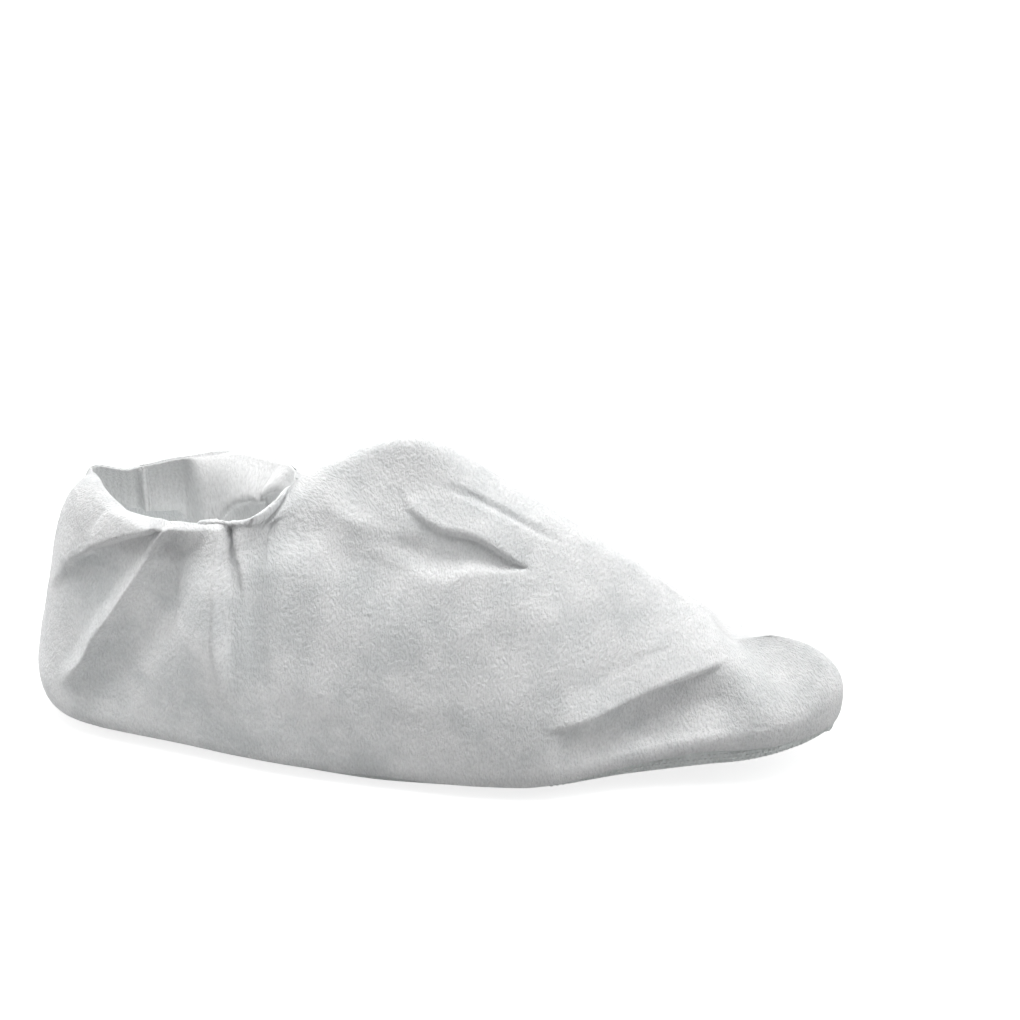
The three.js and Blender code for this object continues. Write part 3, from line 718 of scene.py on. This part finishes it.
def dotSpots():
    # places and upward normals
    end = sole["end"] + dots["endSections"]
    fine = np.linspace(end, upper["tip"] - sole["end"] - dots["endSections"], dots["samples"])
    borders = solePoint(fine, 1.0)
    spots = []
    pitch = dots["pitch"]
    rowGap = pitch * math.sin(math.pi / 3)
    rows = np.arange(borders[0, 0] + dots["heelGap"], borders[-1, 0] - dots["toeGap"], rowGap)
    for k, x in enumerate(rows):
        t = float(np.interp(x, borders[:, 0], fine))
        halfWidth = float(np.interp(x, borders[:, 0], borders[:, 1]))
        for y in np.arange(-dots["rows"], dots["rows"] + 1) * pitch + (pitch / 2 if k % 2 else 0):
            if abs(y) <= halfWidth - dots["rim"]:
                spots.append((solePoint(t, y / halfWidth), soleNormal(t, y / halfWidth)))
    run = lengthAlong(borders[:, :2])
    low = solePoint(fine, .5)[:, 2]
    pitch = dots["borderPitch"]
    for row in range(dots["borderRows"]):
        height = dots["borderLow"] + row * pitch * dots["borderStep"]
        for length in np.arange(0, run[-1], pitch) + (row % 2) * pitch / 2:
            k = min(int(np.searchsorted(run, length)), len(fine) - 1)
            tall = borders[k, 2] - low[k]
            atTip = fine[k] > upper["tip"] - dots["tipSections"]
            if borders[k, 0] < dots["borderFrom"] or height > tall - dots["borderTop"] or atTip:
                continue
            across = (height / tall) ** (1 / sole["toeBorderPower"])
            for side in (-1, 1):
                spots.append((solePoint(fine[k], side * across), soleNormal(fine[k], side * across)))
    return spots


def buildGripDots():
    # one low dome, copied to every spot
    deselectAll()
    bpy.ops.mesh.primitive_uv_sphere_add(segments=dots["segments"], ring_count=dots["rings"], radius=1,
                                         location=(0, 0, 0))
    domePoints, domeFaces = cutPrimitive((0, 0, dots["cut"]), (0, 0, 1))
    tall = sole["dotHeight"] + dots["sunk"]
    points, faces = [], []
    for spot, up in dotSpots():
        side = unit(np.cross(up, np.array(dots["turn"])))
        ahead = np.cross(side, up)
        base = spot + up * tall
        start = len(points)
        for a, b, c in domePoints:
            points.append(base + (ahead * a + side * b) * dots["radius"] - up * c * tall)
        faces += [[start + i for i in reversed(f)] for f in domeFaces]
    obj = makeMesh("gripDots", points, faces)
    faceOutwards(obj)
    smoothShade(obj, dots["angle"])
    return obj


gripDots = buildGripDots()
print("grip dots", len(gripDots.data.polygons), "faces")


# the sewn band between upper and sole

seam = {"columns": 420, "rows": 5, "width": 2.4, "inset": 1, "bulge": .5, "drop": .4, "thickness": 1,
        "flatStep": (2, 1)}


def seamLoop(count):
    # section place and side, all round the edge
    t = evenPlaces(0, upper["tip"], count)
    return [(x, -1) for x in t] + [(x, 1) for x in t[-2:0:-1]]


def buildSoleSeam():
    heights = np.linspace(0, 1, seam["rows"])
    columns = []
    for t, side in seamLoop(seam["columns"] // 2):
        columns.append([edgePoint(t, side, seam["inset"] - seam["bulge"] * math.sin(f * math.pi),
                                  f * seam["width"] - seam["drop"]) for f in heights])
    stepX, stepY = seam["flatStep"]
    obj = gridCloth("soleSeam", np.array(columns), lambda i, j: (i * stepX, j * stepY), closed=True)
    thicken(obj, seam["thickness"])
    smoothShade(obj)
    return obj


soleSeam = buildSoleSeam()
print("sole seam", len(soleSeam.data.vertices), "points")


# the overlock stitches on that band

stitch = {"pitch": 2.6, "radius": .26, "height": 1.6, "lean": .9, "bow": .55, "sunk": .2,
          "inset": .55, "rise": .9, "segments": 14, "sides": 5, "tube": .2, "samples": 1500,
          "lookAhead": .5, "angle": 60,
          # neighbours differ a little in height and lean
          "heightPlay": .12, "heightBeat": 2.3, "leanPlay": .25, "leanBeat": 1.7}


def buildStitches():
    # one bowed thread, copied round the seam and leaning forwards
    deselectAll()
    bpy.ops.mesh.primitive_torus_add(major_segments=stitch["segments"], minor_segments=stitch["sides"],
                                     major_radius=1, minor_radius=stitch["tube"], location=(0, 0, 0))
    bowPoints, bowFaces = cutPrimitive((0, 0, 0), (0, 1, 0))
    # each point of the bow as a place on its middle line, and a way out from it
    spine = bowPoints.copy()
    spine[:, :2] /= np.hypot(bowPoints[:, 0], bowPoints[:, 1])[:, None]
    spine[:, 2] = 0
    ring = (bowPoints - spine) / stitch["tube"]
    path = [edgePoint(t, side, stitch["inset"], stitch["rise"]) for t, side in seamLoop(stitch["samples"])]
    path = np.array(path + path[:1])
    length = lengthAlong(path)

    def pathPoint(run):
        return np.array([np.interp(run, length, path[:, c]) for c in range(3)])

    count = int(length[-1] / stitch["pitch"])
    points, faces = [], []
    for k in range(count):
        run = (k + .5) / count * length[-1]
        at = pathPoint(run)
        ahead = unit(pathPoint(run + stitch["lookAhead"]) - at)
        out = unit(np.array([ahead[1], -ahead[0], 0.0]))
        up = np.cross(out, ahead)
        half = stitch["height"] / 2 * (1 + stitch["heightPlay"] * math.sin(k * stitch["heightBeat"]))
        lean = stitch["lean"] * (1 + stitch["leanPlay"] * math.sin(k * stitch["leanBeat"]))
        start = len(points)
        for (x, y, _), (a, b, c) in zip(spine, ring):
            base = at + up * x * half + ahead * x * lean + out * (y * stitch["bow"] - stitch["sunk"])
            points.append(base + stitch["radius"] * (up * a + out * b + ahead * c))
        faces += [[start + i for i in f] for f in bowFaces]
    obj = makeMesh("overlockStitches", points, faces)
    faceOutwards(obj)
    smoothShade(obj, stitch["angle"])
    return obj


overlockStitches = buildStitches()
print("stitches", len(overlockStitches.data.polygons), "faces")


# camera at the photo's angle (metres and degrees, the focal length in the photo's pixels)

view = {"azimuth": 10, "elevation": 25, "distance": 1.5, "side": .03348, "lift": .04913, "aim": (0, 0, .05),
        "focal": 3450, "photoWidth": 1020, "sensor": 36}
az, el = math.radians(view["azimuth"]), math.radians(view["elevation"])
right = Vector((math.cos(az), math.sin(az), 0))
back = Vector((math.sin(az) * math.cos(el), -math.cos(az) * math.cos(el), math.sin(el)))
place = Vector(view["aim"]) + back * view["distance"]
place = place + right * view["side"] + back.cross(right) * view["lift"]
deselectAll()
bpy.ops.object.camera_add(location=place, rotation=(math.pi / 2 - el, 0, az))
camera = bpy.context.object
camera.name = "photoCamera"
camera.data.sensor_width = view["sensor"]
camera.data.lens = view["focal"] * view["sensor"] / view["photoWidth"]
bpy.context.scene.camera = camera
print("camera")


# floor and light

studio = {
    "floorSize": 8, "floorColour": (.44, .44, .44, 1), "floorRoughness": .9, "floorGloss": .1,
    "floorGlow": .82, "world": .02,
    # name, strength, softness, tilt about X and Y
    "lamps": [("topBox", 3.15, 50, 0, 0), ("backBox", .4, 40, -35, 0), ("leftBox", 1.3, 40, 0, -75),
              ("leftFrontBox", .1, 40, 40, -50), ("leftBackBox", .45, 40, -40, -60),
              ("rightBox", 1, 40, 0, 50), ("rightBackBox", .45, 40, -40, 60),
              ("rightFrontBox", .12, 40, 40, 50)],
    "lampHeight": 2,
    # a weak fill inside the cover, for the light that thin cloth lets through
    "fill": {"place": (-.1, .008, .05), "power": .026, "radius": .015},
}
deselectAll()
bpy.ops.mesh.primitive_plane_add(size=studio["floorSize"], location=(0, 0, 0))
floor = bpy.context.object
floor.name = "paleFloor"
floorPaint = bpy.data.materials.new("palePaper")
floorPaint.use_nodes = True
floorTree = floorPaint.node_tree
floorShader = floorTree.nodes["Principled BSDF"]
floorShader.inputs["Base Color"].default_value = studio["floorColour"]
floorShader.inputs["Roughness"].default_value = studio["floorRoughness"]
floorShader.inputs["Specular IOR Level"].default_value = studio["floorGloss"]
floorShader.inputs["Emission Color"].default_value = (1, 1, 1, 1)
# the glow makes the floor read white and is for the camera alone: the cloth gets only lamp light back from it
floorRay = floorTree.nodes.new("ShaderNodeLightPath")
floorGlow = floorTree.nodes.new("ShaderNodeMath")
floorGlow.operation = "MULTIPLY"
floorGlow.inputs[1].default_value = studio["floorGlow"]
floorTree.links.new(floorRay.outputs["Is Camera Ray"], floorGlow.inputs[0])
floorTree.links.new(floorGlow.outputs["Value"], floorShader.inputs["Emission Strength"])
floor.data.materials.append(floorPaint)

world = bpy.context.scene.world or bpy.data.worlds.new("softRoom")
bpy.context.scene.world = world
world.use_nodes = True
world.node_tree.nodes["Background"].inputs["Color"].default_value = (1, 1, 1, 1)
world.node_tree.nodes["Background"].inputs["Strength"].default_value = studio["world"]
for lampName, strength, softness, tiltX, tiltY in studio["lamps"]:
    deselectAll()
    bpy.ops.object.light_add(type="SUN", location=(0, 0, studio["lampHeight"]),
                             rotation=(math.radians(tiltX), math.radians(tiltY), 0))
    lamp = bpy.context.object
    lamp.name = lampName
    lamp.data.energy = strength
    lamp.data.angle = math.radians(softness)
deselectAll()
bpy.ops.object.light_add(type="POINT", location=studio["fill"]["place"])
fill = bpy.context.object
fill.name = "insideFill"
fill.data.energy = studio["fill"]["power"]
fill.data.shadow_soft_size = studio["fill"]["radius"]
fill.visible_camera = False
bpy.context.scene.view_settings.view_transform = "Standard"
bpy.context.scene.view_settings.look = "None"
print("floor and light")


# finishes

nonwoven = {
    "gloss": .25, "roughness": (.78, .95),
    "softness": .7, "softDepth": .0016,   # light that goes into the cloth and out again
    "wanderScale": 170.0, "wander": (.0022, .0012, 0),   # how the fibres bend about
    "fibreDetail": 3.0, "fibreRoughness": .6, "fibreRange": (.3, .7), "fibreTone": (.86, 1.06),
    "cloudScale": 38.0, "cloudDetail": 6.0, "cloudRoughness": .62, "cloudRange": (.38, .6),
}


def addNode(tree, kind, **sockets):
    node = tree.nodes.new(kind)
    for key, value in sockets.items():
        node.inputs[key.replace("_", " ")].default_value = value
    return node


def nonwovenPaint(name, colour, shade, streak, depth):
    # short upright fibres on the cloth's own map, over a slow cloudiness from shade to colour
    # dots and stitches have no such map, so on them only the cloudiness shows
    mat = bpy.data.materials.new(name)
    mat.use_nodes = True
    tree = mat.node_tree
    link = tree.links.new
    shader = tree.nodes["Principled BSDF"]
    shader.inputs["Specular IOR Level"].default_value = nonwoven["gloss"]
    shader.inputs["Subsurface Weight"].default_value = nonwoven["softness"]
    shader.inputs["Subsurface Radius"].default_value = (1, 1, 1)
    shader.inputs["Subsurface Scale"].default_value = nonwoven["softDepth"]

    uv = addNode(tree, "ShaderNodeUVMap")
    uv.uv_map = "cloth"
    wander = addNode(tree, "ShaderNodeTexNoise", Scale=nonwoven["wanderScale"], Detail=1.0)
    link(uv.outputs["UV"], wander.inputs["Vector"])
    bend = addNode(tree, "ShaderNodeVectorMath")
    bend.operation = "MULTIPLY_ADD"
    link(wander.outputs["Color"], bend.inputs[0])
    bend.inputs[1].default_value = nonwoven["wander"]
    link(uv.outputs["UV"], bend.inputs[2])
    fibreMap = addNode(tree, "ShaderNodeMapping", Scale=streak)
    link(bend.outputs["Vector"], fibreMap.inputs["Vector"])
    fibre = addNode(tree, "ShaderNodeTexNoise", Scale=1.0, Detail=nonwoven["fibreDetail"],
                    Roughness=nonwoven["fibreRoughness"])
    link(fibreMap.outputs["Vector"], fibre.inputs["Vector"])

    spot = addNode(tree, "ShaderNodeTexCoord")
    cloud = addNode(tree, "ShaderNodeTexNoise", Scale=nonwoven["cloudScale"], Detail=nonwoven["cloudDetail"],
                    Roughness=nonwoven["cloudRoughness"])
    link(spot.outputs["Object"], cloud.inputs["Vector"])
    ramp = addNode(tree, "ShaderNodeValToRGB")
    for stop, position, tint in zip(ramp.color_ramp.elements, nonwoven["cloudRange"], (shade, colour)):
        stop.position = position
        stop.color = tint
    link(cloud.outputs["Fac"], ramp.inputs["Fac"])

    lowest, highest = nonwoven["fibreRange"]
    darkest, lightest = nonwoven["fibreTone"]
    fleck = addNode(tree, "ShaderNodeMapRange", From_Min=lowest, From_Max=highest,
                    To_Min=darkest, To_Max=lightest)
    link(fibre.outputs["Fac"], fleck.inputs["Value"])
    tone = addNode(tree, "ShaderNodeVectorMath")
    tone.operation = "MULTIPLY"
    link(ramp.outputs["Color"], tone.inputs[0])
    link(fleck.outputs["Result"], tone.inputs[1])
    link(tone.outputs["Vector"], shader.inputs["Base Color"])

    smoothest, roughest = nonwoven["roughness"]
    rough = addNode(tree, "ShaderNodeMapRange", To_Min=smoothest, To_Max=roughest)
    link(fibre.outputs["Fac"], rough.inputs["Value"])
    link(rough.outputs["Result"], shader.inputs["Roughness"])
    bump = addNode(tree, "ShaderNodeBump", Strength=1.0, Distance=depth)
    link(fibre.outputs["Fac"], bump.inputs["Height"])
    link(bump.outputs["Normal"], shader.inputs["Normal"])
    return mat


# name, colour, shade, fibres for each metre of the map, depth of their relief in metres
whiteNonwoven = nonwovenPaint("whiteNonwoven", (.93, .935, .94, 1), (.74, .757, .763, 1),
                              (1100, 520, 1), .0013)
# painted light: the hem and its heel seam get colours lighter than the upper's cloth, standing in for the
# light that thin cloth lets into the mouth
hemNonwovenPaintedLight = nonwovenPaint("hemNonwovenPaintedLight", (.97, .975, .975, 1), (.93, .94, .94, 1), (900, 500, 1), .0005)
soleCoat = nonwovenPaint("greyCoating", (.88, .92, .91, 1), (.78, .82, .81, 1), (500, 500, 1), .0003)
dotCoat = nonwovenPaint("gripDotCoating", (.88, .91, .9, 1), (.8, .83, .82, 1), (500, 500, 1), .0002)
threadPaint = nonwovenPaint("overlockThread", (.86, .88, .88, 1), (.74, .77, .77, 1), (1500, 1500, 1), .0002)
seamPaint = nonwovenPaint("seamTape", (.86, .88, .88, 1), (.74, .77, .77, 1), (900, 500, 1), .0003)

for obj, paint, slotName, nodes in (
        (upperCloth, whiteNonwoven, "nonwoven", ["upper"]),
        (collarHem, hemNonwovenPaintedLight, "hem", ["collar_hem"]),
        (heelSeam, hemNonwovenPaintedLight, "hem", ["heel_seam"]),
        (gripSole, soleCoat, "sole", ["sole"]),
        (gripDots, dotCoat, "sole", []),
        (soleSeam, seamPaint, "thread", ["sole_seam"]),
        (overlockStitches, threadPaint, "thread", [])):
    obj.data.materials.append(paint)
    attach(obj, "root")
    if nodes:
        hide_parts(*nodes)
print("finishes")
